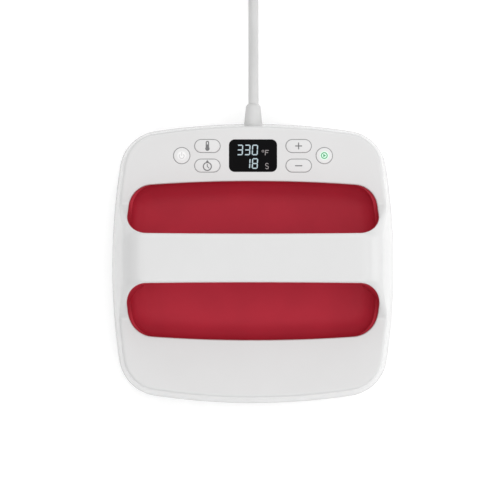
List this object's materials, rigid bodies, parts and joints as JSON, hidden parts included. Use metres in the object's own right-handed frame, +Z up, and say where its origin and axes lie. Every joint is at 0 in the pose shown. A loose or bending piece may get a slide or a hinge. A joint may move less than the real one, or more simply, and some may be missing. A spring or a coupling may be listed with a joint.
{
  "type": "mini heat press",
  "caption": "Hand-held square craft heat press: white housing with an arched handle over a crimson hand well, display and keys behind it, aluminium plate below, mains lead at the rear.",
  "frame": {"origin": "middle of the plate's sole, on the surface that the press stands on", "axes": "+Z up; +Y towards the control panel and the lead; +X to the right of someone standing in front"},
  "size_m": [0.3303, 0.5768, 0.121],
  "materials": {
    "white_housing": "glossy white moulded shell",
    "crimson_plastic": "fine-textured heat-resistant crimson moulding",
    "key_white": "satin white key cap with a printed grey sign",
    "lens_black": "polished smoked window",
    "cord_white": "soft white vinyl",
    "plate_aluminium": "cast plate, milled sole with a non-stick coat",
    "sink_aluminium": "extruded, clear finish",
    "screw_steel": "zinc-plated",
    "galvanised_sheet": "galvanised sheet",
    "mica": "mica and resistance foil",
    "ceramic_fibre": "felted ceramic fibre",
    "circuit_board": "glass-epoxy with a green mask",
    "black_plastic": "moulded black plastic",
    "relay_blue": "moulded blue case",
    "winding_yellow": "taped winding on a laminated core",
    "brass": "bright brass",
    "tie_black": "hook-and-loop strap"
  },
  "bodies": {
    "press": {"top_cover": "white_housing", "grip_lower_shell": "crimson_plastic", "hand_well": "crimson_plastic", "base_housing": "white_housing", "heat_plate": "plate_aluminium", "heating_element": "mica", "insulation_mat": "ceramic_fibre", "heat_shield": "galvanised_sheet", "thermistor": "screw_steel", "thermal_cutout": "black_plastic", "board_tray": "black_plastic", "power_board": "circuit_board", "relay": "relay_blue", "transformer": "winding_yellow", "capacitor": "black_plastic", "triac_heat_sink": "sink_aluminium", "terminal_block": "black_plastic", "display_window": "lens_black", "display_module": "black_plastic", "control_board": "circuit_board", "buzzer": "black_plastic", "switch_power": "black_plastic", "switch_temperature": "black_plastic", "switch_timer": "black_plastic", "switch_plus": "black_plastic", "switch_minus": "black_plastic", "switch_start": "black_plastic", "housing_screw_1": "screw_steel", "housing_screw_2": "screw_steel", "housing_screw_3": "screw_steel", "housing_screw_4": "screw_steel", "shield_screw_1": "screw_steel", "shield_screw_2": "screw_steel", "shield_screw_3": "screw_steel", "shield_screw_4": "screw_steel", "plate_screw_1": "screw_steel", "plate_screw_2": "screw_steel", "plate_screw_3": "screw_steel", "plate_screw_4": "screw_steel", "grip_screw_1": "screw_steel", "grip_screw_2": "screw_steel", "clamp_screw_1": "screw_steel", "clamp_screw_2": "screw_steel", "strain_relief": "cord_white", "cord_clamp": "black_plastic", "mains_lead": "cord_white", "cord_coil": "cord_white", "coil_tie": "tie_black", "plug_body": "cord_white", "plug_blade_left": "brass", "plug_blade_right": "brass", "plug_ground_pin": "brass"},
    "key_power": {"key_power": "key_white"},
    "key_temperature": {"key_temperature": "key_white"},
    "key_timer": {"key_timer": "key_white"},
    "key_plus": {"key_plus": "key_white"},
    "key_minus": {"key_minus": "key_white"},
    "key_start": {"key_start": "key_white"}
  },
  "joints": [
    {"name": "power_press", "type": "slide", "parent": "press", "child": "key_power", "axis": [0, 0.061, 0.9981], "range_m": [-0.0008, 0], "stiffness_N_per_m": 800, "springref_m": 0.0005},
    {"name": "temperature_press", "type": "slide", "parent": "press", "child": "key_temperature", "axis": [0, 0.061, 0.9981], "range_m": [-0.0008, 0], "stiffness_N_per_m": 800, "springref_m": 0.0005},
    {"name": "timer_press", "type": "slide", "parent": "press", "child": "key_timer", "axis": [0, 0.061, 0.9981], "range_m": [-0.0008, 0], "stiffness_N_per_m": 800, "springref_m": 0.0005},
    {"name": "plus_press", "type": "slide", "parent": "press", "child": "key_plus", "axis": [0, 0.061, 0.9981], "range_m": [-0.0008, 0], "stiffness_N_per_m": 800, "springref_m": 0.0005},
    {"name": "minus_press", "type": "slide", "parent": "press", "child": "key_minus", "axis": [0, 0.061, 0.9981], "range_m": [-0.0008, 0], "stiffness_N_per_m": 800, "springref_m": 0.0005},
    {"name": "start_press", "type": "slide", "parent": "press", "child": "key_start", "axis": [0, 0.061, 0.9981], "range_m": [-0.0008, 0], "stiffness_N_per_m": 800, "springref_m": 0.0005}
  ]
}
